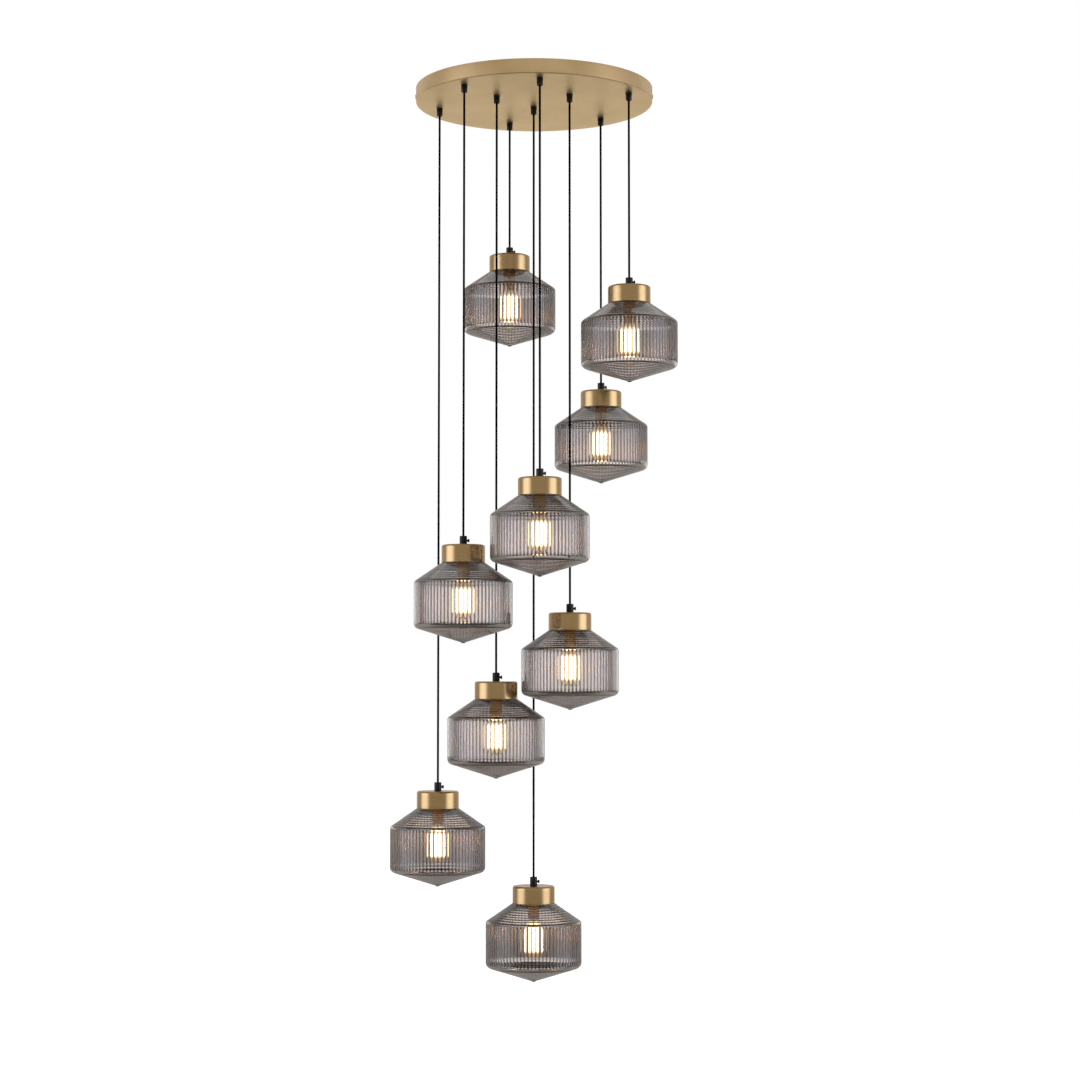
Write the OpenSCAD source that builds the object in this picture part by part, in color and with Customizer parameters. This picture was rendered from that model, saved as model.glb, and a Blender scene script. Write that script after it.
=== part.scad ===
// Cluster pendant light: nine glass lamps on cords of different lengths, hung from one
// round ceiling canopy. The origin is the centre of the ceiling face, +Z is up, and
// +X is to the right of a viewer who stands in front of the light.

/* [Canopy] */
// Diameter of the round canopy
canopy_d = 500; // [490:5:600]
// Height of the canopy's rim
canopy_h = 30; // [28:1:45]
// Thickness of the canopy's brass sheet
canopy_wall = 1.2; // [0.8:0.1:2]
// Radius of the canopy's lower edge
canopy_edge_r = 1.6; // [0.6:0.1:4]

/* [Ceiling bracket] */
// Width of the bracket's bar
bracket_w = 40; // [30:1:60]
// Thickness of the bracket's steel
bracket_t = 3; // [2:0.5:4]
// Width of the two tabs that carry the canopy
tab_w = 20; // [14:1:28]
// Height of the two tabs, from the ceiling
tab_h = 22; // [20:1:25]
// Distance between the two holes for the ceiling screws
ceiling_hole_pitch = 180; // [150:5:240]
// Diameter of the holes for the ceiling screws
ceiling_hole_d = 6.5; // [4.5:0.5:9]
// Diameter of the hole that the mains cable comes through
mains_hole_d = 12; // [8:1:16]
// Diameter of the two screws in the canopy's rim
side_screw_d = 5; // [4:0.5:6]
// Diameter of the low heads of those screws
side_head_d = 9; // [8:0.5:12]
// Height of the low heads of those screws
side_head_h = 1.6; // [1:0.1:3]

/* [Terminal block] */
// Length of the terminal block
block_l = 110; // [104:1:120]
// Width of the terminal block
block_w = 22; // [18:1:26]
// Height of the terminal block
block_h = 16; // [14:1:20]
// Distance between two cord entries on one side of the block
entry_pitch = 22; // [18:1:23]
// Depth that a cord tail goes into the block
entry_depth = 4; // [2:0.5:7]
// Diameter of the wells over the terminal screws
well_d = 5; // [3:0.5:7]
// Depth of those wells
well_depth = 2.5; // [1:0.5:4]
// Diameter of the two screws that hold the block
block_screw_d = 3; // [2.5:0.5:4]

/* [Cords] */
// Diameter of the round black cord
cord_d = 4.5; // [3.5:0.1:5.5]
// Radius of the bend of each cord above its gland
tail_bend_r = 11; // [9:0.5:12]
// Radius of the bend of each cord in front of the terminal block
flat_bend_r = 9; // [6:0.5:10]

/* [Canopy glands] */
// Height of a gland below the canopy
gland_h = 16; // [12:1:24]
// Diameter of a gland's flange
gland_flange_d = 13.5; // [13:0.5:16]
// Height of a gland's flange
gland_flange_h = 3; // [2:0.5:5]
// Diameter of a gland at its mouth
gland_mouth_d = 12; // [10.5:0.5:13]
// Diameter of the thread that all glands and nipples share
thread_d = 10; // [9:0.5:11]
// Width of a lock nut across its flats
nut_flats = 14; // [13:0.5:17]
// Height of a lock nut
nut_h = 3; // [2:0.5:4]

/* [Cord grips] */
// Diameter of the grip on top of each cap
grip_d = 15; // [14:0.5:20]
// Height of that grip
grip_h = 18; // [16:1:26]
// Height of the thumb screw's axis above the cap
thumb_z = 8.5; // [8:0.5:10]
// Diameter of the thumb screw's shank
thumb_shank_d = 4; // [3:0.5:4.5]
// Diameter of the thumb screw's head
thumb_head_d = 7; // [5:0.5:9]
// Length of the thumb screw's head
thumb_head_l = 3.5; // [2:0.5:6]
// Length of bare shank between the grip and that head
thumb_gap = 1.5; // [0.5:0.5:3]

/* [Caps] */
// Diameter of each brass cap
cap_d = 88; // [80:1:100]
// Height of each brass cap
cap_h = 36; // [30:1:44]
// Thickness of the cap's sheet
cap_wall = 1.2; // [0.8:0.1:2]
// Radius of the cap's upper edge
cap_edge_r = 4.5; // [2:0.5:8]

/* [Lamp holders] */
// Diameter of the brass sleeve round the holder
sleeve_d = 25; // [24:0.5:30]
// Thickness of that sleeve
sleeve_wall = 0.8; // [0.5:0.1:1.2]
// Length of sleeve that shows below the cap
sleeve_below_cap = 40; // [30:1:44]
// Diameter of the nipple's bore
nipple_bore_d = 7; // [6:0.5:8]
// Length of nipple inside the cord grip
nipple_in_grip = 5; // [3:0.5:6]

/* [Bulbs] */
// Diameter of the tubular glass bulb
bulb_d = 30; // [26:1:36]
// Length of bulb that shows below the sleeve
bulb_below_sleeve = 75; // [60:1:85]
// Thickness of the bulb's glass
bulb_wall = 0.9; // [0.6:0.1:1.2]
// Diameter of the bulb's screw base
base_d = 13.8; // [13:0.1:14.5]
// Length of the bulb's screw base
base_l = 22; // [18:1:26]
// Length of the light filaments
filament_l = 46; // [30:1:48]
// Diameter of a light filament
filament_d = 1.6; // [1:0.1:2]
// Diameter of the circle on which the filaments stand
filament_ring_d = 14; // [10:1:20]
// Number of filaments
filament_count = 6; // [2:1:8]

/* [Glass shades] */
// Largest diameter of each glass shade
shade_d = 200; // [170:1:202]
// Height of the sloping shoulder under the cap
shoulder_h = 38.5; // [30:0.5:50]
// Height of the upright wall
wall_h = 93; // [80:1:96]
// Height of the cone under the upright wall
bottom_h = 31.5; // [24:0.5:34]
// Thickness of the shade's glass
glass_t = 3; // [2:0.5:4]
// Height of the glass neck inside the cap
neck_h = 18; // [12:1:22]
// Radius of the bend between shoulder and wall
shoulder_r = 8; // [4:1:14]
// Radius of the bend between wall and bottom cone
bottom_r = 12; // [6:1:18]
// Number of upright ribs on the inside of the wall
rib_count = 80; // [48:1:90]
// How far the upright ribs stand out of the wall
rib_depth = 1.2; // [0.3:0.1:1.3]
// Number of level rings on the inside of the shoulder
shoulder_rings = 9; // [1:1:10]
// Number of level rings on the inside of the bottom cone
cone_rings = 12; // [1:1:14]
// How far the level rings stand out of the shoulder and the cone
ring_depth = 0.8; // [0.3:0.1:0.9]
// Diameter of the small knob at the bottom
tip_d = 8; // [5:1:14]
// Height of the small knob at the bottom
tip_h = 1; // [0.5:0.5:4]

/* [Lamp places, from the highest lamp to the lowest] */
// Place of lamp 1: to the right, and away from the viewer
lamp_1_at = [-54, 171]; // [-215:1:215]
// Drop of lamp 1, from the canopy to the top of its cap
lamp_1_drop = 294; // [240:1:320]
// Place of lamp 2
lamp_2_at = [197, -89]; // [-215:1:215]
// Drop of lamp 2
lamp_2_drop = 406; // [300:1:470]
// Place of lamp 3
lamp_3_at = [144, 128]; // [-215:1:215]
// Drop of lamp 3
lamp_3_drop = 597; // [480:1:700]
// Place of lamp 4
lamp_4_at = [12, -210]; // [-215:1:215]
// Drop of lamp 4
lamp_4_drop = 814; // [700:1:830]
// Place of lamp 5
lamp_5_at = [-143, -156]; // [-215:1:215]
// Drop of lamp 5
lamp_5_drop = 946; // [930:1:1000]
// Place of lamp 6
lamp_6_at = [74, -76]; // [-215:1:215]
// Drop of lamp 6
lamp_6_drop = 1081; // [1060:1:1100]
// Place of lamp 7
lamp_7_at = [-78, -65]; // [-215:1:215]
// Drop of lamp 7
lamp_7_drop = 1222; // [1200:1:1260]
// Place of lamp 8
lamp_8_at = [-202, 44]; // [-215:1:215]
// Drop of lamp 8
lamp_8_drop = 1451; // [1300:1:1560]
// Place of lamp 9
lamp_9_at = [-1, 30]; // [-215:1:215]
// Drop of lamp 9
lamp_9_drop = 1647; // [1480:1:1800]

/* [Clearances] */
// Gap round a cord in a bore
cord_gap = 0.3; // [0.2:0.1:0.5]
// Gap between a round piece and the hole it sits in
fit_gap = 0.1; // [0.05:0.05:0.2]
// Gap between the bracket's tabs and the canopy's rim
tab_gap = 0.3; // [0.2:0.1:0.6]
// Gap between the neck's beads and the cap
neck_gap = 0.3; // [0.2:0.1:0.5]
// Gap between two cord ends that bend against each other
bend_gap = 0.5; // [0.4:0.1:0.8]

/* [Hidden] */
$fn = 64;
lamp_at = [lamp_1_at, lamp_2_at, lamp_3_at, lamp_4_at, lamp_5_at,
           lamp_6_at, lamp_7_at, lamp_8_at, lamp_9_at];
lamp_drop = [lamp_1_drop, lamp_2_drop, lamp_3_drop, lamp_4_drop, lamp_5_drop,
             lamp_6_drop, lamp_7_drop, lamp_8_drop, lamp_9_drop];
lamp_count = len(lamp_at);
lamps = [1:lamp_count];

// The ceiling part has six nodes, and each lamp has one of each of these six.
lamp_nodes = ["cord", "cord_grip", "cap", "lamp_holder", "bulb", "shade"];

eps = 0.01;
cord_r = cord_d / 2;
cord_bore_r = cord_r + cord_gap;
thread_r = thread_d / 2;
thread_hole_r = thread_r + fit_gap;

// Heights inside the canopy
canopy_floor = -canopy_h + canopy_wall;
side_screw_z = -canopy_h / 2;
side_shank_r = side_screw_d / 2;
side_shank_l = 8;
block_top = -bracket_t;
entry_z = block_top - block_h / 2;
block_pole_w = entry_pitch / 2;
block_screw_x = block_l / 2 - 5;
block_head_h = 2;
mains_hole_x = (block_l + ceiling_hole_pitch) / 4;
stem_top = canopy_floor + nut_h + 1.5;

// A cord bends on a point a little inside the flared mouth that it leaves.
flare_depth = 2.5;
flare_r = cord_bore_r + 1.1;
pivot_depth = 2;
gland_bottom = -canopy_h - gland_h;
sway_z = gland_bottom + pivot_depth;

// Heights on a lamp, from the top of its cap
pivot_above_cap = grip_h - pivot_depth;
holder_top = -cap_wall - nut_h;
sleeve_bottom = -cap_h - sleeve_below_cap;
sleeve_r = sleeve_d / 2;
insert_r = sleeve_r - sleeve_wall - fit_gap;
base_r = base_d / 2;
base_top = sleeve_bottom + 3 + base_l;
bulb_r = bulb_d / 2;
bulb_bottom = sleeve_bottom - bulb_below_sleeve;
bulb_neck_r = base_r - 0.6 - fit_gap;
filament_top = bulb_bottom + 15 + filament_l;
cap_r = cap_d / 2;
shade_r = shade_d / 2;
neck_bead = 0.3;
neck_r = cap_r - cap_wall - neck_gap - neck_bead;
lip_z = -cap_h - neck_gap;
wall_top = lip_z + neck_gap - shoulder_h;
wall_bottom = wall_top - wall_h;
shade_bottom = wall_bottom - bottom_h;
ring_steps = 4;
rib_steps = 4;
rib_land = 0.2;

// Where each lamp's cord goes into the terminal block: the side, -1 in front and 1 behind,
// and the entry, counted from the middle of that side. No two tails cross.
entry_side = [1, -1, 1, -1, -1, -1, -1, 1, 1];
entry_slot = [-1, 2, 2, 0, -1, 1, -2, -2, 0];

// Unit vector along v
function unit(v) = v / norm(v);

// Points of the arc of radius r that rounds the corner b between a and c
function arc_at(a, b, c, r, steps) =
    let (u = unit(a - b))
    let (v = unit(c - b))
    let (half = acos(u * v) / 2)
    let (centre = b + unit(u + v) * r / sin(half))
    let (first = b + u * r / tan(half) - centre)
    let (last = b + v * r / tan(half) - centre)
    let (sweep = 180 - 2 * half)
    let (across = unit(last - first * cos(sweep)) * r)
    [for (i = [0:steps])
        centre + first * cos(sweep * i / steps) + across * sin(sweep * i / steps)];

// A closed outline in which corner i is rounded with radii[i], where that isn't 0
function rounded(path, radii, steps = 6) =
    let (n = len(path))
    [for (i = [0:n - 1])
        each radii[i] > 0
            ? arc_at(path[(i + n - 1) % n], path[i], path[(i + 1) % n], radii[i], steps)
            : [path[i]]];

// Points between a and b on the inside of a shade, for n level rings that stand out by h.
// Seen from a, the glass is on the left and the room inside on the right.
function ringed(a, b, n, h) =
    let (way = b - a)
    let (inward = unit([way.y, -way.x]))
    [for (i = [1:ring_steps * n - 1])
        let (u = 2 * (i % ring_steps) / ring_steps - 1)
        a + way * i / (ring_steps * n) + inward * h * (1 - u * u)];

// Moves its children to the cord of lamp k
module at_lamp(k) {
    translate([lamp_at[k - 1].x, lamp_at[k - 1].y, 0]) children();
}

// Moves its children to the top of lamp k's cap
module at_cap(k) {
    at_lamp(k) translate([0, 0, -canopy_h - lamp_drop[k - 1]]) children();
}

// A hexagonal lock nut on the shared thread, standing on z = 0
module lock_nut() {
    difference() {
        cylinder(d = nut_flats / cos(30), h = nut_h, $fn = 6);
        translate([0, 0, -eps]) cylinder(r = thread_hole_r, h = nut_h + 2 * eps);
    }
}

// The canopy: a shallow spun pan, open to the ceiling, with a hole for each gland
module canopy() {
    r = canopy_d / 2;
    profile = rounded(
        [[0, -canopy_h], [r, -canopy_h], [r, 0], [r - canopy_wall, 0],
         [r - canopy_wall, canopy_floor], [0, canopy_floor]],
        [0, canopy_edge_r, 0, 0, max(canopy_edge_r - canopy_wall, 0), 0]
    );
    color([0.72, 0.6, 0.4])
    difference() {
        rotate_extrude() polygon(profile);
        for (k = lamps)
            at_lamp(k) translate([0, 0, -canopy_h - eps])
                cylinder(r = thread_hole_r, h = canopy_wall + 2 * eps);
        for (side = [0, 180])
            rotate([0, 0, side]) translate([r - 2 * canopy_wall, 0, side_screw_z])
                rotate([0, 90, 0]) cylinder(r = side_shank_r + fit_gap, h = 3 * canopy_wall);
    }
}

// The ceiling bracket: a steel bar with two tabs bent down inside the canopy's rim
module ceiling_bracket() {
    r = canopy_d / 2 - canopy_wall - tab_gap;
    color([0.75, 0.76, 0.78])
    difference() {
        intersection() {
            union() {
                translate([-r, -bracket_w / 2, -bracket_t])
                    cube([2 * r, bracket_w, bracket_t]);
                for (side = [0, 180])
                    rotate([0, 0, side]) translate([r - bracket_t, -tab_w / 2, -tab_h])
                        cube([bracket_t, tab_w, tab_h]);
            }
            translate([0, 0, -tab_h]) cylinder(r = r, h = tab_h);
        }
        for (x = [-1, 1] * ceiling_hole_pitch / 2)
            translate([x, 0, -bracket_t - eps])
                cylinder(d = ceiling_hole_d, h = bracket_t + 2 * eps);
        translate([mains_hole_x, 0, -bracket_t - eps])
            cylinder(d = mains_hole_d, h = bracket_t + 2 * eps);
        for (x = [-1, 1] * block_screw_x)
            translate([x, 0, -bracket_t - eps])
                cylinder(r = block_screw_d / 2 + fit_gap, h = bracket_t + 2 * eps);
        for (side = [0, 180])
            rotate([0, 0, side]) translate([r - 2 * bracket_t, 0, side_screw_z])
                rotate([0, 90, 0]) cylinder(r = side_shank_r + fit_gap, h = 3 * bracket_t);
    }
}

// One low side screw along +X, its head's underside at x = 0
module side_screw() {
    rotate([0, 90, 0]) rotate_extrude()
        polygon(rounded(
            [[0, -side_shank_l], [side_shank_r, -side_shank_l], [side_shank_r, 0],
             [side_head_d / 2, 0], [side_head_d / 2, side_head_h], [0, side_head_h]],
            [0, 0, 0, 0, side_head_h * 0.8, 0]
        ));
}

// Fasteners of the ceiling part: two side screws, two block screws, nine lock nuts
module canopy_fasteners() {
    color([0.7, 0.62, 0.45])
    for (side = [0, 180])
        rotate([0, 0, side]) translate([canopy_d / 2 + fit_gap, 0, side_screw_z])
            side_screw();
    color([0.75, 0.76, 0.78])
    for (x = [-1, 1] * block_screw_x)
        translate([x, 0, block_top - block_h]) {
            translate([0, 0, -block_head_h])
                cylinder(r = block_screw_d * 0.9, h = block_head_h);
            cylinder(r = block_screw_d / 2, h = block_h + bracket_t - 0.5);
        }
    color([0.6, 0.6, 0.58])
    for (k = lamps)
        at_lamp(k) translate([0, 0, canopy_floor]) lock_nut();
}

// Nine black glands: flange and tapered nose below the canopy, threaded stem above
module cord_glands() {
    profile = [
        [cord_bore_r, stem_top],
        [thread_r, stem_top],
        [thread_r, -canopy_h],
        [gland_flange_d / 2, -canopy_h],
        [gland_flange_d / 2, -canopy_h - gland_flange_h],
        [(gland_flange_d + gland_mouth_d) / 4, -canopy_h - gland_flange_h],
        [gland_mouth_d / 2, gland_bottom + 0.8],
        [gland_mouth_d / 2 - 0.8, gland_bottom],
        [flare_r, gland_bottom],
        [cord_bore_r, gland_bottom + flare_depth]
    ];
    color([0.05, 0.05, 0.05])
    for (k = lamps)
        at_lamp(k) rotate_extrude() polygon(profile);
}

// Where along the block lamp k's cord goes in
function entry_x(k) = entry_slot[k - 1] * entry_pitch;

// The terminal block: a plastic strip with cord entries on both sides and screw wells
module terminal_block() {
    poles = floor(block_l / block_pole_w) - 1;
    color([0.93, 0.92, 0.88])
    difference() {
        translate([-block_l / 2, -block_w / 2, block_top - block_h])
            cube([block_l, block_w, block_h]);
        for (i = [0:poles - 1], side = [-1, 1])
            translate([(i - (poles - 1) / 2) * block_pole_w, side * block_w / 4,
                       block_top - block_h - eps])
                cylinder(d = well_d, h = well_depth);
        for (k = lamps)
            translate([entry_x(k), entry_side[k - 1] * block_w / 2, entry_z])
                rotate([90, 0, 0])
                    cylinder(r = cord_r + fit_gap, h = 2 * entry_depth, center = true);
        for (x = [-1, 1] * block_screw_x)
            translate([x, 0, block_top - block_h - eps])
                cylinder(r = block_screw_d / 2 + fit_gap, h = block_h + 2 * eps);
    }
}

// Centre line of the tail of lamp k's cord: up through the gland, over in a quarter bend,
// level towards the block, round a flat bend, and straight into its entry
function tail_line(k) =
    let (at = lamp_at[k - 1])
    let (side = entry_side[k - 1])
    let (lead = min(tail_bend_r, (abs(at.y) - block_w / 2 - tail_bend_r) / 2))
    let (foot = [at.x, at.y, sway_z + bend_gap])
    let (top = [at.x, at.y, entry_z])
    let (front = [entry_x(k), side * (block_w / 2 + lead), entry_z])
    let (goal = [entry_x(k), side * (block_w / 2 - entry_depth + fit_gap), entry_z])
    concat(
        [foot],
        arc_at(foot, top, front, tail_bend_r, 5),
        arc_at(top, front, goal, flat_bend_r, 3),
        [goal]
    );

// A ring of points of radius r round p, square to the direction t. It starts on side,
// which is level and square to t where t isn't upright.
function ring_at(p, t, side, r, sides) =
    let (over = cross(t, side))
    [for (j = [0:sides - 1])
        p + r * (cos(360 * j / sides) * side + sin(360 * j / sides) * over)];

// A round tube of radius r along a centre line that starts straight up
module tube(line, r, sides = 8) {
    n = len(line);
    headings = [for (i = [0:n - 1]) unit(line[min(i + 1, n - 1)] - line[max(i - 1, 0)])];
    levels = [for (i = [0:n - 1]) let (t = headings[max(i, 1)]) unit([-t.y, t.x, 0])];
    points = [for (i = [0:n - 1]) each ring_at(line[i], headings[i], levels[i], r, sides)];
    walls = [for (i = [0:n - 2], j = [0:sides - 1])
        [i * sides + j, (i + 1) * sides + j,
         (i + 1) * sides + (j + 1) % sides, i * sides + (j + 1) % sides]];
    start_face = [for (j = [0:sides - 1]) j];
    end_face = [for (j = [sides - 1:-1:0]) (n - 1) * sides + j];
    polyhedron(points, concat([start_face], walls, [end_face]), convexity = 4);
}

// All nine cord ends inside the canopy
module cord_tails() {
    color([0.08, 0.08, 0.08])
    for (k = lamps) tube(tail_line(k), cord_r);
}

// Free stretch of lamp k's cord, from the mouth of its gland to the mouth of its grip
module cord(k) {
    low = -canopy_h - lamp_drop[k - 1] + pivot_above_cap;
    color([0.04, 0.04, 0.04])
    at_lamp(k) translate([0, 0, low]) cylinder(r = cord_r, h = sway_z - low);
}

// Grip of lamp k: a black barrel screwed on the nipple, with a thumb screw that
// presses on the cord from the right
module cord_grip(k) {
    color([0.07, 0.07, 0.07])
    at_cap(k) {
        difference() {
            rotate_extrude() polygon([
                [thread_hole_r, 0],
                [grip_d / 2, 0],
                [grip_d / 2, grip_h - 0.8],
                [grip_d / 2 - 0.8, grip_h],
                [flare_r, grip_h],
                [cord_bore_r, grip_h - flare_depth],
                [cord_bore_r, nipple_in_grip + fit_gap],
                [thread_hole_r, nipple_in_grip + fit_gap]
            ]);
            translate([0, 0, thumb_z]) rotate([0, 90, 0])
                cylinder(r = thumb_shank_d / 2 + fit_gap, h = grip_d);
        }
        translate([cord_r + fit_gap, 0, thumb_z]) rotate([0, 90, 0]) {
            cylinder(d = thumb_shank_d, h = grip_d / 2 + thumb_gap - cord_r - fit_gap);
            translate([0, 0, grip_d / 2 + thumb_gap - cord_r - fit_gap])
                cylinder(d = thumb_head_d, h = thumb_head_l);
        }
    }
}

// Brass cap of lamp k: a spun cup with a hole for the nipple
module cap(k) {
    profile = rounded(
        [[thread_hole_r, 0], [cap_r, 0], [cap_r, -cap_h], [cap_r - cap_wall, -cap_h],
         [cap_r - cap_wall, -cap_wall], [thread_hole_r, -cap_wall]],
        [0, cap_edge_r, 0, 0, max(cap_edge_r - cap_wall, 0.5), 0]
    );
    color([0.74, 0.6, 0.36])
    at_cap(k) rotate_extrude() polygon(profile);
}

// Lamp holder k: nipple with lock nut, brass sleeve, insulating insert with its
// threaded socket, and the end of the cord that is wired to it
module lamp_holder(k) {
    sleeve_edge_r = 3;
    sleeve_in = sleeve_r - sleeve_wall;
    insert_top = holder_top - sleeve_wall - nut_h - 1;
    chamber_bottom = insert_top - 8;
    nipple_bottom = insert_top + 0.5;
    at_cap(k) {
        color([0.74, 0.6, 0.36])
        rotate_extrude() polygon(rounded(
            [[thread_hole_r, holder_top], [sleeve_r, holder_top], [sleeve_r, sleeve_bottom],
             [sleeve_in, sleeve_bottom], [sleeve_in, holder_top - sleeve_wall],
             [thread_hole_r, holder_top - sleeve_wall]],
            [0, sleeve_edge_r, 0, 0, sleeve_edge_r - sleeve_wall, 0]
        ));
        color([0.7, 0.7, 0.68]) {
            difference() {
                translate([0, 0, nipple_bottom])
                    cylinder(r = thread_r, h = nipple_in_grip - nipple_bottom);
                translate([0, 0, nipple_bottom - eps])
                    cylinder(d = nipple_bore_d, h = nipple_in_grip - nipple_bottom + 2 * eps);
            }
            translate([0, 0, -cap_wall - nut_h]) lock_nut();
            translate([0, 0, holder_top - sleeve_wall - nut_h]) lock_nut();
        }
        color([0.9, 0.88, 0.84])
        rotate_extrude() polygon([
            [thread_r, insert_top],
            [insert_r, insert_top],
            [insert_r, sleeve_bottom + 2],
            [base_r + fit_gap, sleeve_bottom + 2],
            [base_r + fit_gap, base_top + 1],
            [0, base_top + 1],
            [0, chamber_bottom],
            [thread_r, chamber_bottom]
        ]);
        color([0.08, 0.08, 0.08])
        translate([0, 0, chamber_bottom])
            cylinder(r = cord_r, h = pivot_above_cap - bend_gap - chamber_bottom);
    }
}

// Bulb k: screw base, tubular glass, and a stem that carries the filaments
module bulb(k) {
    cup_t = 0.6;
    shoulder = 12;
    outer = rounded(
        [[bulb_neck_r, base_top - base_l + 5], [bulb_neck_r, sleeve_bottom + 1],
         [bulb_r, sleeve_bottom - shoulder], [bulb_r, bulb_bottom], [0, bulb_bottom]],
        [0, 4, 8, bulb_r - 1, 0], 5
    );
    inner = rounded(
        [[bulb_neck_r - bulb_wall, base_top - base_l + 5],
         [bulb_neck_r - bulb_wall, sleeve_bottom + 1],
         [bulb_r - bulb_wall, sleeve_bottom - shoulder],
         [bulb_r - bulb_wall, bulb_bottom + bulb_wall], [0, bulb_bottom + bulb_wall]],
        [0, 4, 8, bulb_r - 1 - bulb_wall, 0], 5
    );
    at_cap(k) {
        color([0.8, 0.78, 0.72])
        rotate_extrude() polygon([
            [0, base_top + 1 - fit_gap],
            [2.5, base_top + 1 - fit_gap],
            [base_r, base_top - 2],
            [base_r, base_top - base_l],
            [base_r - cup_t, base_top - base_l],
            [base_r - cup_t, base_top - 3],
            [0, base_top - 3]
        ]);
        color([1, 0.93, 0.75, 0.5])
        rotate_extrude()
            polygon(concat(outer, [for (i = [len(inner) - 1:-1:0]) inner[i]]));
        color([1, 0.8, 0.4]) {
            rotate_extrude() polygon([
                [0, base_top - base_l + 7],
                [bulb_neck_r - bulb_wall - fit_gap, base_top - base_l + 5],
                [bulb_neck_r - bulb_wall - fit_gap, base_top - base_l + 2],
                [1.2, filament_top + 2],
                [1.2, filament_top - filament_l],
                [0, filament_top - filament_l]
            ]);
            for (i = [0:filament_count - 1])
                rotate([0, 0, 360 * i / filament_count]) {
                    translate([filament_ring_d / 2, 0, filament_top - filament_l])
                        cylinder(d = filament_d, h = filament_l);
                    for (z = [filament_top - filament_l + 0.6, filament_top - 0.6])
                        translate([0, 0, z]) rotate([0, 90, 0])
                            cylinder(r = 0.5, h = filament_ring_d / 2);
                }
        }
    }
}

// Glass shade k: a closed lantern of pressed glass that screws into the cap by its neck. It is
// smooth outside. Inside, the wall has upright ribs, and the shoulder and the cone have rings.
module shade(k) {
    rise = (lip_z - wall_top) / (shade_r - cap_r);
    dip = bottom_h / shade_r;
    under = lip_z - glass_t * norm([1, rise]);
    above = shade_bottom + glass_t * norm([1, dip]);
    neck_in = neck_r - glass_t;
    wall_in = shade_r - glass_t;
    smooth_in = wall_in - rib_depth - rib_land;
    neck_top = lip_z + neck_h;
    bead_r = neck_r + neck_bead;
    outer = rounded(
        [[0, neck_top], [neck_r, neck_top],
         [neck_r, lip_z + 12], [bead_r, lip_z + 12], [bead_r, lip_z + 10], [neck_r, lip_z + 10],
         [neck_r, lip_z + 6], [bead_r, lip_z + 6], [bead_r, lip_z + 4], [neck_r, lip_z + 4],
         [neck_r, lip_z], [cap_r, lip_z],
         [shade_r, wall_top], [shade_r, wall_bottom],
         [tip_d / 2, shade_bottom + dip * tip_d / 2], [tip_d / 2, shade_bottom - tip_h],
         [0, shade_bottom - tip_h]],
        [0, 1, 0, 0, 0, 0, 0, 0, 0, 0, 0, 1, shoulder_r, bottom_r, 0, tip_h / 2, 0]
    );
    mouth = [neck_in, neck_top + 1];
    throat = [neck_in, under + rise * (cap_r - neck_in)];
    shoulder = [smooth_in, under - rise * (smooth_in - cap_r)];
    foot = [smooth_in, above + dip * smooth_in];
    centre = [0, above];
    throat_bend = arc_at(mouth, throat, shoulder, 3, 6);
    shoulder_bend = arc_at(throat, shoulder, foot, shoulder_r - glass_t, 6);
    foot_bend = arc_at(shoulder, foot, centre, bottom_r - glass_t, 6);
    inner = concat(
        [[0, neck_top + 1], mouth],
        throat_bend,
        ringed(throat_bend[6], shoulder_bend[0], shoulder_rings, ring_depth),
        shoulder_bend,
        foot_bend,
        ringed(foot_bend[6], [tip_d / 2, above + dip * tip_d / 2], cone_rings, ring_depth),
        [[tip_d / 2, above + dip * tip_d / 2], centre]
    );
    rib_top = shoulder.y - 0.6;
    rib_bottom = foot.y + 3;
    rib_ring = [for (i = [0:rib_count * rib_steps - 1])
        let (u = 2 * (i % rib_steps) / rib_steps - 1)
        let (a = 360 * i / (rib_count * rib_steps))
        (wall_in - rib_depth * (1 - u * u)) * [cos(a), sin(a)]];
    color([0.45, 0.43, 0.44, 0.6])
    at_cap(k) difference() {
        rotate_extrude() polygon(outer);
        rotate_extrude() polygon(inner);
        translate([0, 0, rib_bottom]) linear_extrude(height = rib_top - rib_bottom)
            polygon(rib_ring);
    }
}

canopy();
ceiling_bracket();
canopy_fasteners();
cord_glands();
terminal_block();
cord_tails();
for (k = lamps) {
    cord(k);
    cord_grip(k);
    cap(k);
    lamp_holder(k);
    bulb(k);
    shade(k);
}
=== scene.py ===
"""Cluster pendant light: smoked glass lanterns on black cords under a round brass canopy.

Every size is in metres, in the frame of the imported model. The origin is on the ceiling, +Z is up,
+X is to the right of a viewer in front of the light, and +Y points away from that viewer.
"""
import logging
import math
import random
from collections.abc import Callable, Sequence
from dataclasses import dataclass, field
from enum import Enum

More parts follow.
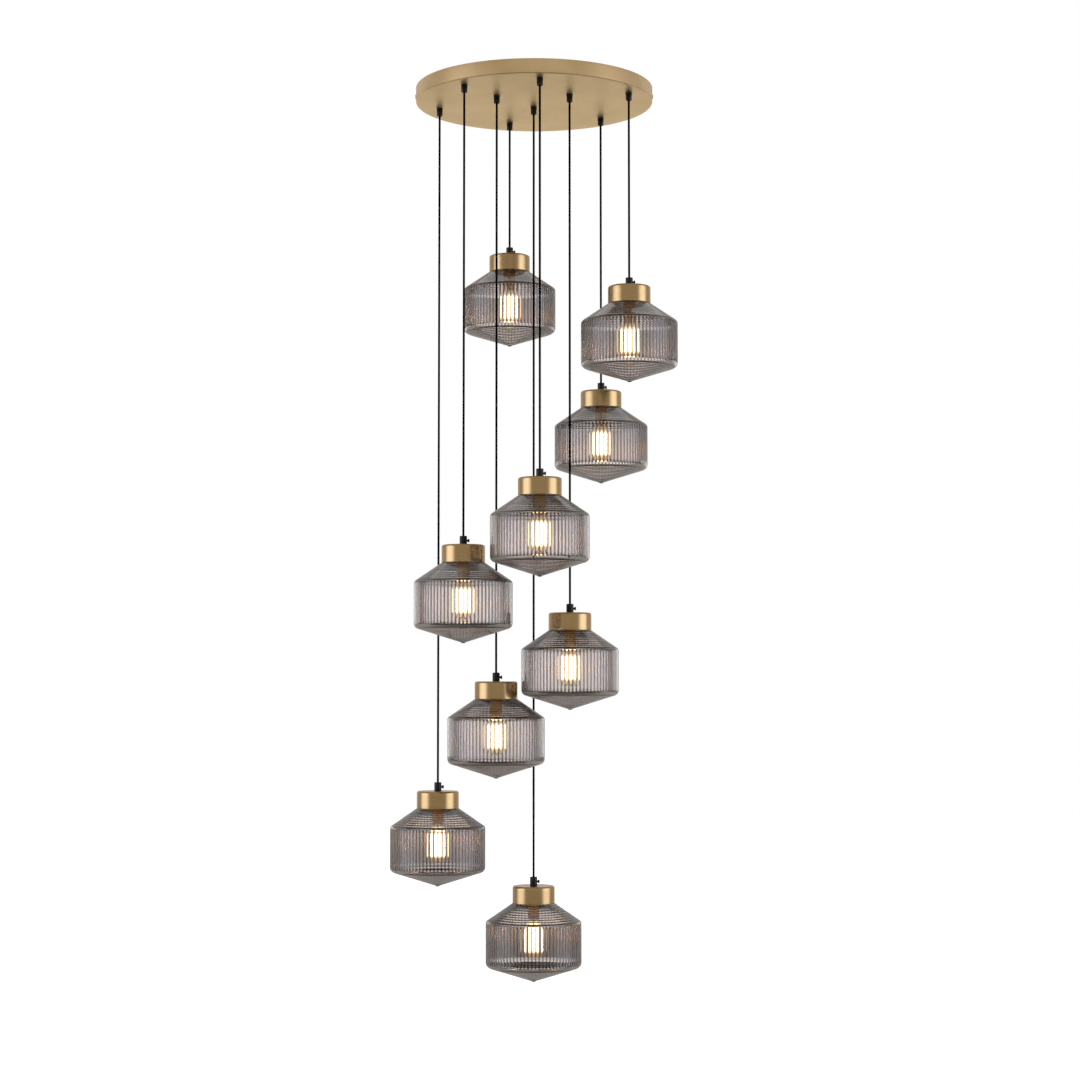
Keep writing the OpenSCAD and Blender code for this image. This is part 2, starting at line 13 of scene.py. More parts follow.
import bmesh
import bpy
from bpy.types import Collection, Material, Mesh, Node, NodeSocket
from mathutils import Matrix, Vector


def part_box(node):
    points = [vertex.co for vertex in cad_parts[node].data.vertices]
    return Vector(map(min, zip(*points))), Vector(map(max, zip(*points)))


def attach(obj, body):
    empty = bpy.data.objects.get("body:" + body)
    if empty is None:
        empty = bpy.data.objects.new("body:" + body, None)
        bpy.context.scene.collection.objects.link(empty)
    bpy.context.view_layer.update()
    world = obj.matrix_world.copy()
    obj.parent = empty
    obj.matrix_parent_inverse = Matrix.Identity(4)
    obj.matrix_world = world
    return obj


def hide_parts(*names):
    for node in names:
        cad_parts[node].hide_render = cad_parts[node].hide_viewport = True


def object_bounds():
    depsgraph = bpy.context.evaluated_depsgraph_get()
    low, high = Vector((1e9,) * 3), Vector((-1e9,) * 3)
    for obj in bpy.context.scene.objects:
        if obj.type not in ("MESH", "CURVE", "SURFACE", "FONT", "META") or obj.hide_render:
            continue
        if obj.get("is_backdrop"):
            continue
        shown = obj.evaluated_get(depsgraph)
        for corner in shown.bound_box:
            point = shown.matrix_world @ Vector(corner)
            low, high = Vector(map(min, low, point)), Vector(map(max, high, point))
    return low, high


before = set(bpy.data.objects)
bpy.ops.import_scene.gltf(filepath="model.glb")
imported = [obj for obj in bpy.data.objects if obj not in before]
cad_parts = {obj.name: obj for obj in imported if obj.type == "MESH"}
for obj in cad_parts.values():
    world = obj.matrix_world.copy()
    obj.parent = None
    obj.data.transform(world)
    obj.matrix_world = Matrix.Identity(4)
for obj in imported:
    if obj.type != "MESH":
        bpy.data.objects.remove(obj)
cad_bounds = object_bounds()

log = logging.getLogger("pendant")

MM = 0.001
CEILING_BODY = "canopy_assembly"
CORD_BORE = 2.55 * MM
CORD_MOUTH = 3.65 * MM
CORD_FLARE = 2.5 * MM

Pair = tuple[float, float]
Triple = tuple[float, float, float]
Profile = list[Pair]
Stops = Sequence[Pair]
ByPoint = Callable[[int, float], float]


class Slot(Enum):
    """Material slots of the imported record, for the pieces that the scene draws itself."""

    CANOPY = "antique_brass"
    CAP = "cap_brass"
    SLEEVE = "sleeve_brass"
    BLACK = "black_metal"
    CORD = "black_cord"
    BULB = "bulb_glass"
    GLASS = "smoke_glass"


class Recipe:
    """Node tree of one material or world, with short calls that add and join its nodes."""

    def __init__(self, owner: bpy.types.ID) -> None:
        """Empties the owner's node tree and gives it an output node.

        Args:
            owner: A material or a world.
        """
        owner.use_nodes = True
        self.owner = owner
        self.tree = owner.node_tree
        self.tree.nodes.clear()
        kind = "World" if isinstance(owner, bpy.types.World) else "Material"
        self.output = self.add(f"Output{kind}")

    def add(self, kind: str, inputs: dict | None = None, **settings) -> Node:
        """Adds a node, sets its properties, and sets or joins its inputs.

        Args:
            kind: Name of the node's type without the ShaderNode in front.
            inputs: Input name or index to a value, a node (its first output) or a socket.
            **settings: Properties of the node.

        Returns:
            The new node.
        """
        node = self.tree.nodes.new(f"ShaderNode{kind}")
        for name, value in settings.items():
            setattr(node, name, value)
        for key, value in (inputs or {}).items():
            self.feed(node.inputs[key], value)
        return node

    def feed(self, socket: NodeSocket, value: object) -> None:
        """Joins a node or socket to an input, or sets the input's value.

        Args:
            socket: The input.
            value: A node, of which the first output is joined, a socket or a value.
        """
        if isinstance(value, Node):
            value = value.outputs[0]
        if isinstance(value, NodeSocket):
            self.tree.links.new(value, socket)
        else:
            socket.default_value = value

    def math(self, operation: str, *values: object) -> Node:
        """Adds a math node on the values given."""
        return self.add("Math", dict(enumerate(values)), operation=operation)

    def ramp(self, factor: object, stops: Stops) -> Node:
        """Adds a grey ramp.

        Args:
            factor: What drives the ramp.
            stops: Places and grey levels.

        Returns:
            The ramp node.
        """
        node = self.add("ValToRGB", {"Fac": factor})
        points = node.color_ramp.elements
        while len(points) < len(stops):
            points.new(0.5)
        for point, (place, level) in zip(points, stops):
            point.position = place
            point.color = (level, level, level, 1)
        return node

    def span(self, value: object, start: Pair, end: Pair = (0.0, 1.0)) -> Node:
        """Adds a node that stretches the span from the first pair to the second."""
        return self.add("MapRange", {"Value": value, "From Min": start[0], "From Max": start[1],
                                     "To Min": end[0], "To Max": end[1]})

    def coordinates(self, scale: Triple) -> Node:
        """Adds object coordinates, stretched by a scale."""
        place = self.add("TexCoord")
        return self.add("Mapping", {"Vector": place.outputs["Object"], "Scale": scale})

    def noise(self, scale: Triple, detail: float, roughness: float = 0.5) -> Node:
        """Adds noise on object coordinates that are stretched by a scale."""
        return self.add("TexNoise", {"Vector": self.coordinates(scale), "Scale": 1.0,
                                     "Detail": detail, "Roughness": roughness})

    def relief(self, height: object, strength: float, distance: float) -> Node:
        """Adds a bump that follows a pattern's height."""
        return self.add("Bump", {"Height": height, "Strength": strength, "Distance": distance})

    def mixed(self, factor: object, first: object, second: object) -> Node:
        """Adds a mix of two levels, the second where the factor is 1."""
        return self.add("Mix", {0: factor, 2: first, 3: second})

    def blend(self, factor: object, first: object, second: object) -> NodeSocket:
        """Adds a mix of two colours, the second where the factor is 1, and gives its socket."""
        return self.add("Mix", {0: factor, 6: first, 7: second}, data_type="RGBA").outputs[2]

    def unmirrored(self, level: float) -> Node:
        """Adds a level that is 0 for mirrored light, which the bulbs' own lights stand for."""
        mirrored = self.math("GREATER_THAN", self.add("LightPath").outputs["Glossy Depth"], 0.5)
        return self.mixed(mirrored, level, 0.0)

    def surface(self, shader: object) -> bpy.types.ID:
        """Joins the shader to the output and returns the material or world."""
        self.feed(self.output.inputs["Surface"], shader)
        return self.owner


@dataclass(frozen=True)
class BrushedBrass:
    """Spun and brushed brass with cloudy tone and fine brush lines."""

    name: str
    light: Triple
    dark: Triple
    roughness: float
    cloud_scale: Triple = (9.0, 9.0, 9.0)
    line_scale: Triple = (60.0, 60.0, 1600.0)
    cloud_share: float = 0.55
    line_share: float = 0.45
    line_depth: float = 0.06

    def material(self) -> Material:
        """Builds the material.

        Returns:
            The brass material.
        """
        recipe = Recipe(bpy.data.materials.new(self.name))
        clouds = recipe.noise(self.cloud_scale, 4.0, 0.6)
        lines = recipe.noise(self.line_scale, 3.0, 0.7)
        tone = recipe.math("ADD", recipe.math("MULTIPLY", clouds, self.cloud_share),
                           recipe.math("MULTIPLY", lines, self.line_share))
        spread = recipe.ramp(tone, ((0.36, 0.0), (0.64, 1.0)))
        colour = recipe.blend(spread, (*self.dark, 1), (*self.light, 1))
        rough = recipe.span(lines, (0.3, 0.7), (self.roughness - 0.05, self.roughness + 0.07))
        return recipe.surface(recipe.add("BsdfPrincipled", {
            "Base Color": colour, "Metallic": 1.0, "Roughness": rough,
            "Normal": recipe.relief(lines, self.line_depth, 0.0004)}))


@dataclass(frozen=True)
class PlatedSteel:
    """Zinc or nickel plated steel with a faint spangle."""

    name: str
    colour: Triple
    roughness: float = 0.38

    def material(self) -> Material:
        """Builds the material.

        Returns:
            The plated steel material.
        """
        recipe = Recipe(bpy.data.materials.new(self.name))
        spangle = recipe.add("TexVoronoi", {
            "Vector": recipe.coordinates((160.0,) * 3), "Scale": 1.0})
        rough = recipe.span(spangle, (0.0, 1.0), (self.roughness - 0.08, self.roughness + 0.1))
        return recipe.surface(recipe.add("BsdfPrincipled", {
            "Base Color": (*self.colour, 1), "Metallic": 1.0, "Roughness": rough,
            "Normal": recipe.relief(spangle, 0.05, 0.0003)}))


@dataclass(frozen=True)
class GrainedCoat:
    """Lacquer, plastic or ceramic with a fine grain."""

    name: str
    colour: Triple
    roughness: float = 0.5
    specular: float = 0.5
    grain_scale: float = 900.0
    grain_detail: float = 3.0
    grain_depth: float = 0.15

    def material(self) -> Material:
        """Builds the material.

        Returns:
            The grained material.
        """
        recipe = Recipe(bpy.data.materials.new(self.name))
        grain = recipe.noise((self.grain_scale,) * 3, self.grain_detail)
        return recipe.surface(recipe.add("BsdfPrincipled", {
            "Base Color": (*self.colour, 1), "Roughness": self.roughness,
            "Specular IOR Level": self.specular,
            "Normal": recipe.relief(grain, self.grain_depth, 0.0002)}))


@dataclass(frozen=True)
class CordSheath:
    """Matt black cord sheath with a fine weave."""

    name: str = "cord_sheath"
    colour: Triple = (0.002, 0.002, 0.0022)
    roughness: float = 0.9
    weave_pitch: float = 900.0

    def material(self) -> Material:
        """Builds the material.

        Returns:
            The sheath material.
        """
        recipe = Recipe(bpy.data.materials.new(self.name))
        weave = recipe.add("TexWave", {
            "Vector": recipe.coordinates((1.0, 1.0, 1.4)), "Scale": self.weave_pitch,
            "Distortion": 1.5}, wave_type="BANDS", bands_direction="DIAGONAL")
        return recipe.surface(recipe.add("BsdfPrincipled", {
            "Base Color": (*self.colour, 1), "Roughness": self.roughness,
            "Specular IOR Level": 0.0, "Normal": recipe.relief(weave, 0.15, 0.0001)}))


@dataclass(frozen=True)
class SmokedGlass:
    """Smoke grey pressed glass, darker where light goes a longer way through it.

    Attributes:
        painted_shade: Painted shade in the valleys between the ribs and rings, in place of
        the dark lines that their bending of light makes.
        bend: Index of refraction, lower than real glass has, so that the bulb keeps its form.
        mirror: Index of refraction that sets the share of mirrored light.
        gloss: Roughness of the ribbed inside, whose gleam the streak draws out.
    """

    name: str = "smoked_glass"
    clear: Triple = (0.97, 0.96, 0.96)
    painted_shade: Triple = (0.2, 0.2, 0.2)
    bend: float = 1.25
    mirror: float = 1.5
    gloss: float = 0.6
    streak: float = -0.6
    outside_gloss: float = 0.1
    smoke: Triple = (0.29, 0.28, 0.29)
    # Density of the smoke grey glass's real absorption.
    absorption_and_painted_shade: float = 40.0
    shine: Triple = (0.65, 0.65, 0.65)

    def material(self) -> Material:
        """Builds the material.

        Returns:
            The glass material.
        """
        recipe = Recipe(bpy.data.materials.new(self.name))
        # Painted shade: the refraction colour darkens in the valleys of the ribs and rings on the
        # inside.
        valley = recipe.add("Attribute", attribute_name=Turner.PAINTED_SHADE_LAYER).outputs["Fac"]
        colour = recipe.blend(valley, (*self.clear, 1), (*self.painted_shade, 1))
        recipe.feed(recipe.output.inputs["Volume"], recipe.add("VolumeAbsorption", {
            "Color": (*self.smoke, 1), "Density": self.absorption_and_painted_shade}))
        through = recipe.add("BsdfRefraction", {
            "Color": colour, "Roughness": 0.0, "IOR": self.bend})
        soft = recipe.add("BsdfAnisotropic", {
            "Color": (*self.shine, 1), "Roughness": self.gloss, "Anisotropy": self.streak,
            "Tangent": recipe.add("Tangent", direction_type="RADIAL", axis="Z")})
        sharp = recipe.add("BsdfAnisotropic", {
            "Color": (*self.shine, 1), "Roughness": self.outside_gloss, "Anisotropy": 0.0})
        inside = recipe.math("GREATER_THAN", valley, Turner.OUTSIDE / 2)
        shine = recipe.add("MixShader", {0: inside, 1: sharp, 2: soft})
        rim = recipe.add("Fresnel", {"IOR": self.mirror})
        return recipe.surface(recipe.add("MixShader", {0: rim, 1: through, 2: shine}))


@dataclass(frozen=True)
class LitBulbGlass:
    """Clear bulb glass that glows round the filaments, from one height to another."""

    name: str
    top: float
    bottom: float
    clear: Triple = (1.0, 0.9, 0.74)
    seen: Triple = (1.0, 0.7, 0.4)
    strength: float = 2.2

    def material(self) -> Material:
        """Builds the material.

        Returns:
            The glowing bulb glass.
        """
        recipe = Recipe(bpy.data.materials.new(self.name))
        place = recipe.add("SeparateXYZ", {0: recipe.add("TexCoord").outputs["Object"]})
        glow = recipe.ramp(recipe.span(place.outputs["Z"], (self.bottom, self.top)), (
            (0.0, 0.06), (0.15, 0.1), (0.22, 1.0), (0.78, 1.0), (0.88, 0.12), (1.0, 0.06)))
        level = recipe.math("MULTIPLY", glow, recipe.unmirrored(self.strength))
        light = recipe.add("Emission", {"Color": (*self.seen, 1), "Strength": level})
        clear = recipe.add("BsdfTransparent", {"Color": (*self.clear, 1)})
        shine = recipe.add("BsdfGlossy", {"Roughness": 0.03})
        rim = recipe.add("LayerWeight", {"Blend": 0.25})
        glass = recipe.add("MixShader", {0: rim.outputs["Fresnel"], 1: clear, 2: shine})
        recipe.owner.cycles.emission_sampling = "NONE"
        return recipe.surface(recipe.add("AddShader", {0: glass, 1: light}))


@dataclass(frozen=True)
class GlowingFilament:
    """Warm light filament."""

    name: str = "glowing_filament"
    base: Triple = (0.9, 0.6, 0.2)
    colour: Triple = (1.0, 0.84, 0.58)
    strength: float = 14.0

    def material(self) -> Material:
        """Builds the material.

        Returns:
            The filament material.
        """
        recipe = Recipe(bpy.data.materials.new(self.name))
        recipe.owner.cycles.emission_sampling = "NONE"
        return recipe.surface(recipe.add("BsdfPrincipled", {
            "Base Color": (*self.base, 1), "Roughness": 0.5,
            "Emission Color": (*self.colour, 1),
            "Emission Strength": recipe.unmirrored(self.strength)}))


class Finishes:
    """Every material of the light, each made once."""

    def __init__(self) -> None:
        """Builds the materials."""
        self.canopy = BrushedBrass("canopy_brass", (0.53, 0.385, 0.2), (0.42, 0.295, 0.14), 0.46,
                                   line_scale=(9.0, 520.0, 520.0)).material()
        self.cap = BrushedBrass("cap_brass", (0.56, 0.4, 0.2), (0.52, 0.36, 0.17), 0.22,
                                cloud_scale=(30.0,) * 3).material()
        self.sleeve = BrushedBrass("sleeve_brass", (0.5, 0.3, 0.14), (0.38, 0.22, 0.09), 0.34,
                                   cloud_scale=(60.0,) * 3).material()
        self.zinc = PlatedSteel("zinc_steel", (0.6, 0.61, 0.62)).material()
        self.plated = PlatedSteel("plated_steel", (0.55, 0.48, 0.36), 0.3).material()
        self.black = GrainedCoat("black_lacquer", (0.004, 0.004, 0.0045), 0.34, 0.35,
                                 2500.0, 2.0, 0.12).material()
        self.plastic = GrainedCoat("white_plastic", (0.8, 0.79, 0.74)).material()
        self.ceramic = GrainedCoat("holder_ceramic", (0.7, 0.66, 0.58), 0.4).material()
        self.sheath = CordSheath().material()
        self.glass = SmokedGlass().material()
        self.filament = GlowingFilament().material()


def arc_points(a: Vector, b: Vector, c: Vector, radius: float, steps: int) -> list[Vector]:
    """Points of the arc that rounds the corner b between a and c.

    Args:
        a: Point before the corner.
        b: The corner.
        c: Point after the corner.
        radius: Radius of the arc.
        steps: Number of steps along it.

    Returns:
        The arc's points, from the side of a to the side of c.
    """
    u, v = (a - b).normalized(), (c - b).normalized()
    half = math.acos(max(-1.0, min(1.0, u.dot(v)))) / 2
    centre = b + (u + v).normalized() * radius / math.sin(half)
    first = b + u * radius / math.tan(half) - centre
    last = b + v * radius / math.tan(half) - centre
    sweep = math.pi - 2 * half
    across = (last - first * math.cos(sweep)).normalized() * radius
    return [centre + first * math.cos(sweep * i / steps) + across * math.sin(sweep * i / steps)
            for i in range(steps + 1)]


def rounded(path: Sequence[tuple[float, ...]], steps: int = 6) -> Profile:
    """Rounds the corners of an open outline.

    Args:
        path: Points (radius, height) or, where the corner is rounded, (radius, height, bend).
        steps: Steps along each rounded corner.

    Returns:
        The outline's points.
    """
    points = [Vector(p[:2]) for p in path]
    out: Profile = []
    for i, p in enumerate(path):
        if len(p) == 3 and 0 < i < len(path) - 1:
            bend = arc_points(points[i - 1], points[i], points[i + 1], p[2], steps)
            out += [(q.x, q.y) for q in bend]
        else:
            out.append((p[0], p[1]))
    return out


def resampled(path: Profile, step: float) -> Profile:
    """Adds points on long stretches.

    Args:
        path: The outline's points.
        step: Longest stretch between two points.

    Returns:
        The outline with the added points.
    """
    out = [path[0]]
    for (r0, z0), (r1, z1) in zip(path, path[1:]):
        parts = max(1, math.ceil(math.hypot(r1 - r0, z1 - z0) / step))
        out += [(r0 + (r1 - r0) * i / parts, z0 + (z1 - z0) * i / parts)
                for i in range(1, parts + 1)]
    return out


def off_crest(turns: float) -> float:
    """Place across a rib or ring, 0 on its crest and 1 in the valleys beside it."""
    return abs(2 * (turns % 1.0) - 1)


def eased(value: float, start: float, width: float) -> float:
    """Level that rises from 0 at the start to 1 at the end of the width."""
    return max(0.0, min(1.0, (value - start) / width))


class Turner:
    """Turns outlines into meshes round the Z axis, as a lathe does."""

    SHARP = math.radians(34)
    TINY = 1e-7
    # Vertex layer that holds the painted shade of the glass's inside.
    PAINTED_SHADE_LAYER = "valley"
    OUTSIDE = -1.0

    def __init__(self, name: str, segments: int) -> None:
        """Starts an empty mesh.

        Args:
            name: Name of the mesh.
            segments: Number of steps round the axis.
        """
        self.name = name
        self.segments = segments
        self.bm = bmesh.new()
        self.painted_shade = self.bm.verts.layers.float.new(self.PAINTED_SHADE_LAYER)

    def turn(self, profile: Profile, shift: ByPoint | None = None, closed: bool = False,
             material: int = 0, absorption_and_painted_shade: ByPoint | None = None) -> "Turner":
        """Adds the surface that a profile makes round the axis.

        Args:
            profile: Points (radius, height). A point on the axis becomes one vertex.
            shift: Called with a point's index and angle, gives its change in radius.
            closed: Whether the last point joins the first.
            material: Index of the faces' material.
            absorption_and_painted_shade: Called in the same way, gives the painted shade at a
            point of the inside. Without it the points are marked as outside.

        Returns:
            This turner.
        """
        rings = []
        for i, (radius, z) in enumerate(profile):
            if radius < self.TINY:
                rings.append([self.bm.verts.new((0, 0, z))] * self.segments)
                continue
            ring = []
            for j in range(self.segments):
                a = 2 * math.pi * j / self.segments
                r = radius + shift(i, a) if shift else radius
                vert = self.bm.verts.new((r * math.cos(a), r * math.sin(a), z))
                vert[self.painted_shade] = absorption_and_painted_shade(i, a) if absorption_and_painted_shade else self.OUTSIDE
                ring.append(vert)
            rings.append(ring)
        pairs = list(zip(rings, rings[1:])) + ([(rings[-1], rings[0])] if closed else [])
        for lower, upper in pairs:
            for j in range(self.segments):
                k = (j + 1) % self.segments
                corners = list(dict.fromkeys([lower[j], lower[k], upper[k], upper[j]]))
                if len(corners) > 2:
                    self.bm.faces.new(corners).material_index = material
        return self

    def mesh(self, *materials: Material) -> Mesh:
        """Finishes the mesh: joined seams, outward faces, sharp edges, materials.

        Args:
            *materials: The mesh's materials.

        Returns:
            The mesh.
        """
        bmesh.ops.remove_doubles(self.bm, verts=self.bm.verts[:], dist=self.TINY)
        self.bm.normal_update()
        bmesh.ops.recalc_face_normals(self.bm, faces=self.bm.faces[:])
        for face in self.bm.faces:
            face.smooth = True
        for edge in self.bm.edges:
            if len(edge.link_faces) == 2 and edge.calc_face_angle(0.0) > self.SHARP:
                edge.smooth = False
        data = bpy.data.meshes.new(self.name)
        self.bm.to_mesh(data)
        self.bm.free()
        for material in materials:
            data.materials.append(material)
        return data


def place(name: str, data: bpy.types.ID, at: Sequence[float] = (0.0, 0.0, 0.0),
          turn: float = 0.0) -> bpy.types.Object:
    """Adds an object to the scene.

    Args:
        name: Name of the object.
        data: Its mesh, curve, light or camera.
        at: Its place.
        turn: Its turn round the upright axis.

    Returns:
        The object.
    """
    obj = bpy.data.objects.new(name, data)
    obj.location = at
    obj.rotation_euler.z = turn
    bpy.context.scene.collection.objects.link(obj)
    return obj


def seat(obj: bpy.types.Object, body: str, slot: Slot, *replaced: str) -> None:
    """Ties a piece to its body and hides the CAD nodes that it stands for.

    Args:
        obj: The piece.
        body: The body that it rides on.
        slot: Its material slot; not used.
        *replaced: The CAD nodes.
    """
    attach(obj, body)
    if replaced:
        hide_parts(*replaced)
    log.info("%s rides on %s", obj.name, body)


@dataclass
class Studio:
    """Camera, lights, floor and surroundings. None of it belongs to the light.

    Attributes:
        panels: Levels from between the panels seen through the glass to their middles.
        side_way: X, to either side, and Y of the mirrored side glow.
        back_way: Y and Z of the mirrored back glow.
    """

    CANOPY_LIT = "lit_by_canopy_lights"
    LANTERNS_LIT = "lit_by_edge_lights"
    WHITE = (1.0, 1.0, 1.0)

    lens_mm: float = 77.93
    sensor_mm: float = 36.0
    camera_at: Triple = (0.01236, -4.88993, -1.26416)
    camera_pitch: float = math.radians(93.59)
    floor_z: float = -3.2
    floor_size: float = 60.0
    floor_glow: float = 0.9
    softbox_power: float = 20.0
    front_power: float = 20.0
    world_level: float = 0.6
    panel_count: float = 8.0
    panel_peak: float = 1.4
    panels: Stops = ((0.0, 0.6), (0.3, 0.5), (0.6, 1.0))
    heights: Stops = (
        (0.0, 1.0), (0.15, 0.85), (0.23, 0.26), (0.28, 0.23), (0.364, 0.37), (0.454, 0.9),
        (0.6, 1.05), (0.71, 0.72), (0.786, 0.44), (0.85, 0.42), (1.0, 0.9))
    rise_span: float = 0.25
    dim: Triple = (1.0, 0.88, 0.72)
    bright: Triple = (1.0, 1.03, 1.2)
    bright_share: float = 0.6
    glow_peak: float = 2.03
    side_way: Pair = (0.967, -0.255)
    side_glow: Stops = ((0.0, 0.24), (0.87, 0.22), (0.97, 1.0))
    back_way: Pair = (0.97, -0.24)
    back_glow: Stops = ((0.3, 0.0), (0.85, 0.15))
    lift: Stops = ((0.3, 0.74), (0.42, 1.0), (1.0, 0.96))
    edge_power: float = 21.0
    under_power: float = 34.0
    under_tint: Triple = (1.0, 0.95, 0.75)
    rim_power: float = 39.0
    rim_tint: Triple = (0.95, 1.0, 1.05)
    rim_end_power: float = 9.0
    edge_line_power: float = 11.0
    above_power: float = 21.0

    def camera(self) -> None:
        """Sets up the camera at the photograph's viewing angle."""
        data = bpy.data.cameras.new("camera")
        data.lens = self.lens_mm
        data.sensor_width = self.sensor_mm
        data.clip_end = 200.0
        obj = place("camera", data, self.camera_at)
        obj.rotation_euler.x = self.camera_pitch
        bpy.context.scene.camera = obj

    def lights(self) -> None:
        """Adds the soft lights of the whole, and those for the canopy and the lanterns alone."""
        canopy = bpy.data.collections.new(self.CANOPY_LIT)
        lanterns = bpy.data.collections.new(self.LANTERNS_LIT)
        self.area("front_light", (0.0, -3.6, 1.4), (62, 0, 0), (2.4, 1.4), self.front_power)
        self.area("canopy_light_behind", (0.0, 4.0, -1.05), (-104, 0, 0), (5.0, 2.2),
                  self.under_power, self.under_tint, canopy)
        self.area("canopy_light_front", (0.0, -4.0, 1.0), (76, 0, 0), (7.0, 1.6),
                  self.rim_power, self.rim_tint, canopy)
        self.area("lantern_light_above", (0.0, 2.0, 1.7), (0, 0, 0), (3.2, 2.4),
                  self.above_power, only=lanterns)
        for name, side in (("left", -1), ("right", 1)):
            self.area(f"softbox_{name}", (side * 2.6, -0.5, -1.0), (0, side * 90, 0),
                      (2.6, 0.9), self.softbox_power)
            self.area(f"canopy_light_{name}", (side * 3.06, 2.57, 1.0), (-76, 0, side * -49),
                      (3.0, 1.2), self.rim_end_power, self.rim_tint, canopy)
            self.area(f"canopy_edge_light_{name}", (side * 2.4, 2.76, -1.64),
                      (-114, 0, side * -41), (1.5, 0.8), self.edge_line_power,
                      self.under_tint, canopy)
            self.area(f"lantern_light_{name}", (side * 2.73, 2.93, -1.0),
                      (-90, 0, side * -43), (3.1, 1.1), self.edge_power, only=lanterns)

    def area(self, name: str, at: Triple, tilt: Triple, size: Pair, power: float,
             tint: Triple = WHITE, only: Collection | None = None) -> None:
        """Adds one rectangular area light.

        Args:
            name: Name of the light.
            at: Its centre.
            tilt: Its Euler angles in degrees.
            size: Its two side lengths.
            power: Its power in watts.
            tint: Its colour.
            only: The pieces that it lights, which mirror it too. Without it all are lit.
        """
        data = bpy.data.lights.new(name, "AREA")
        data.shape = "RECTANGLE"
        data.size, data.size_y = size
        data.energy = power
        data.color = tint
        obj = place(name, data, at)
        obj.rotation_euler = [math.radians(angle) for angle in tilt]
        obj.visible_camera = obj.visible_transmission = False
        obj.visible_glossy = only is not None
        if only:
            obj.light_linking.receiver_collection = only

    def world(self) -> None:
        """Gives the camera a white background, and metal and glass soft panels round it."""
        world = bpy.data.worlds.new("studio")
        bpy.context.scene.world = world
        world.cycles.sampling_method = "NONE"
        recipe = Recipe(world)
        ray = recipe.add("LightPath").outputs
        way = recipe.add("SeparateXYZ", {0: recipe.add("TexCoord").outputs["Generated"]}).outputs
        rise = recipe.span(way["Z"], (-self.rise_span, self.rise_span))
        azimuth = recipe.math("ARCTAN2", way["Y"], way["X"])
        crests = recipe.math("COSINE", recipe.math("MULTIPLY", azimuth, self.panel_count))
        waves = recipe.math("MULTIPLY_ADD", crests, 0.5, 0.5)
        through = recipe.math("MULTIPLY", recipe.ramp(waves, self.panels), self.panel_peak)
        through = recipe.math("MULTIPLY", through, recipe.ramp(rise, self.heights))
        across = recipe.math("MULTIPLY", recipe.math("ABSOLUTE", way["X"]), self.side_way[0])
        beside = recipe.math("MULTIPLY_ADD", way["Y"], self.side_way[1], across)
        mirrored = recipe.math("MULTIPLY", recipe.ramp(beside, self.side_glow), self.glow_peak)
        mirrored = recipe.math("MULTIPLY", mirrored, recipe.ramp(rise, self.lift))
        along = recipe.math("MULTIPLY", way["Y"], self.back_way[0])
        behind = recipe.math("MULTIPLY_ADD", way["Z"], self.back_way[1], along)
        mirrored = recipe.math("ADD", mirrored, recipe.ramp(behind, self.back_glow))
        level = recipe.mixed(ray["Is Glossy Ray"], self.world_level, mirrored)
        passed = recipe.math("GREATER_THAN", ray["Transmission Depth"], 0.5)
        level = recipe.mixed(passed, level, through)
        level = recipe.mixed(ray["Is Camera Ray"], level, 1.0)
        tint = recipe.blend(recipe.math("MULTIPLY", mirrored, self.bright_share),
                            (*self.dim, 1), (*self.bright, 1))
        tint = recipe.blend(ray["Is Glossy Ray"], (*self.WHITE, 1), tint)
        recipe.surface(recipe.add("Background", {"Color": tint, "Strength": level}))

    def floor(self) -> None:
        """Lays the plain pale floor far below the light."""
        data = bpy.data.meshes.new("floor")
        half = self.floor_size / 2
        data.from_pydata([(-half, -half, 0), (half, -half, 0), (half, half, 0),
                          (-half, half, 0)], [], [(0, 1, 2, 3)])
        obj = place("floor", data, (0, 0, self.floor_z))
        recipe = Recipe(bpy.data.materials.new("pale_floor"))
        ray = recipe.add("LightPath").outputs
        glow = recipe.mixed(ray["Is Camera Ray"], 0.0, self.floor_glow)
        plain = recipe.add("BsdfDiffuse", {"Color": (0.5, 0.5, 0.5, 1)})
        bright = recipe.add("Emission", {"Strength": glow})
        data.materials.append(recipe.surface(recipe.add("AddShader", {0: plain, 1: bright})))
        obj.visible_glossy = obj.visible_transmission = False
        obj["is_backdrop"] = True

    def build(self) -> None:
        """Builds the camera first, and then the lights, world and floor."""
        self.camera()
        self.lights()
        self.world()
        self.floor()
        bpy.context.scene.view_settings.view_transform = "Standard"
        log.info("studio is set")


@dataclass
class HangingCord:
    """One free cord, from the mouth of its gland to the mouth of its grip."""

    number: int
    sheath: Material
    diameter: float = 4.5 * MM
    points: int = 18

    def build(self) -> None:
        """Builds the cord along its real, straight route."""
        node = f"cord_{self.number}"
        low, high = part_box(node)
        axis = (low + high) / 2
        length = high.z - low.z
        data = bpy.data.curves.new(f"cord_run_{self.number}", "CURVE")
        data.dimensions = "3D"
        data.bevel_depth = self.diameter / 2
        data.bevel_resolution = 6
        data.use_fill_caps = True
        spline = data.splines.new("POLY")
        spline.points.add(self.points - 1)
        for i, point in enumerate(spline.points):
            point.co = (axis.x, axis.y, high.z - length * i / (self.points - 1), 1)
        data.materials.append(self.sheath)
        obj = place(f"cord_run_{self.number}", data)
        seat(obj, f"hanging_cord_{self.number}", Slot.CORD, node)


@dataclass
class Lamp:
    """Number of one lamp, and the place of the middle of its cap's top."""

    number: int
    at: Vector = field(init=False)

    def __post_init__(self) -> None:
        """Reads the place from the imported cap."""
        low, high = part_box(f"cap_{self.number}")
        self.at = Vector(((low.x + high.x) / 2, (low.y + high.y) / 2, high.z))


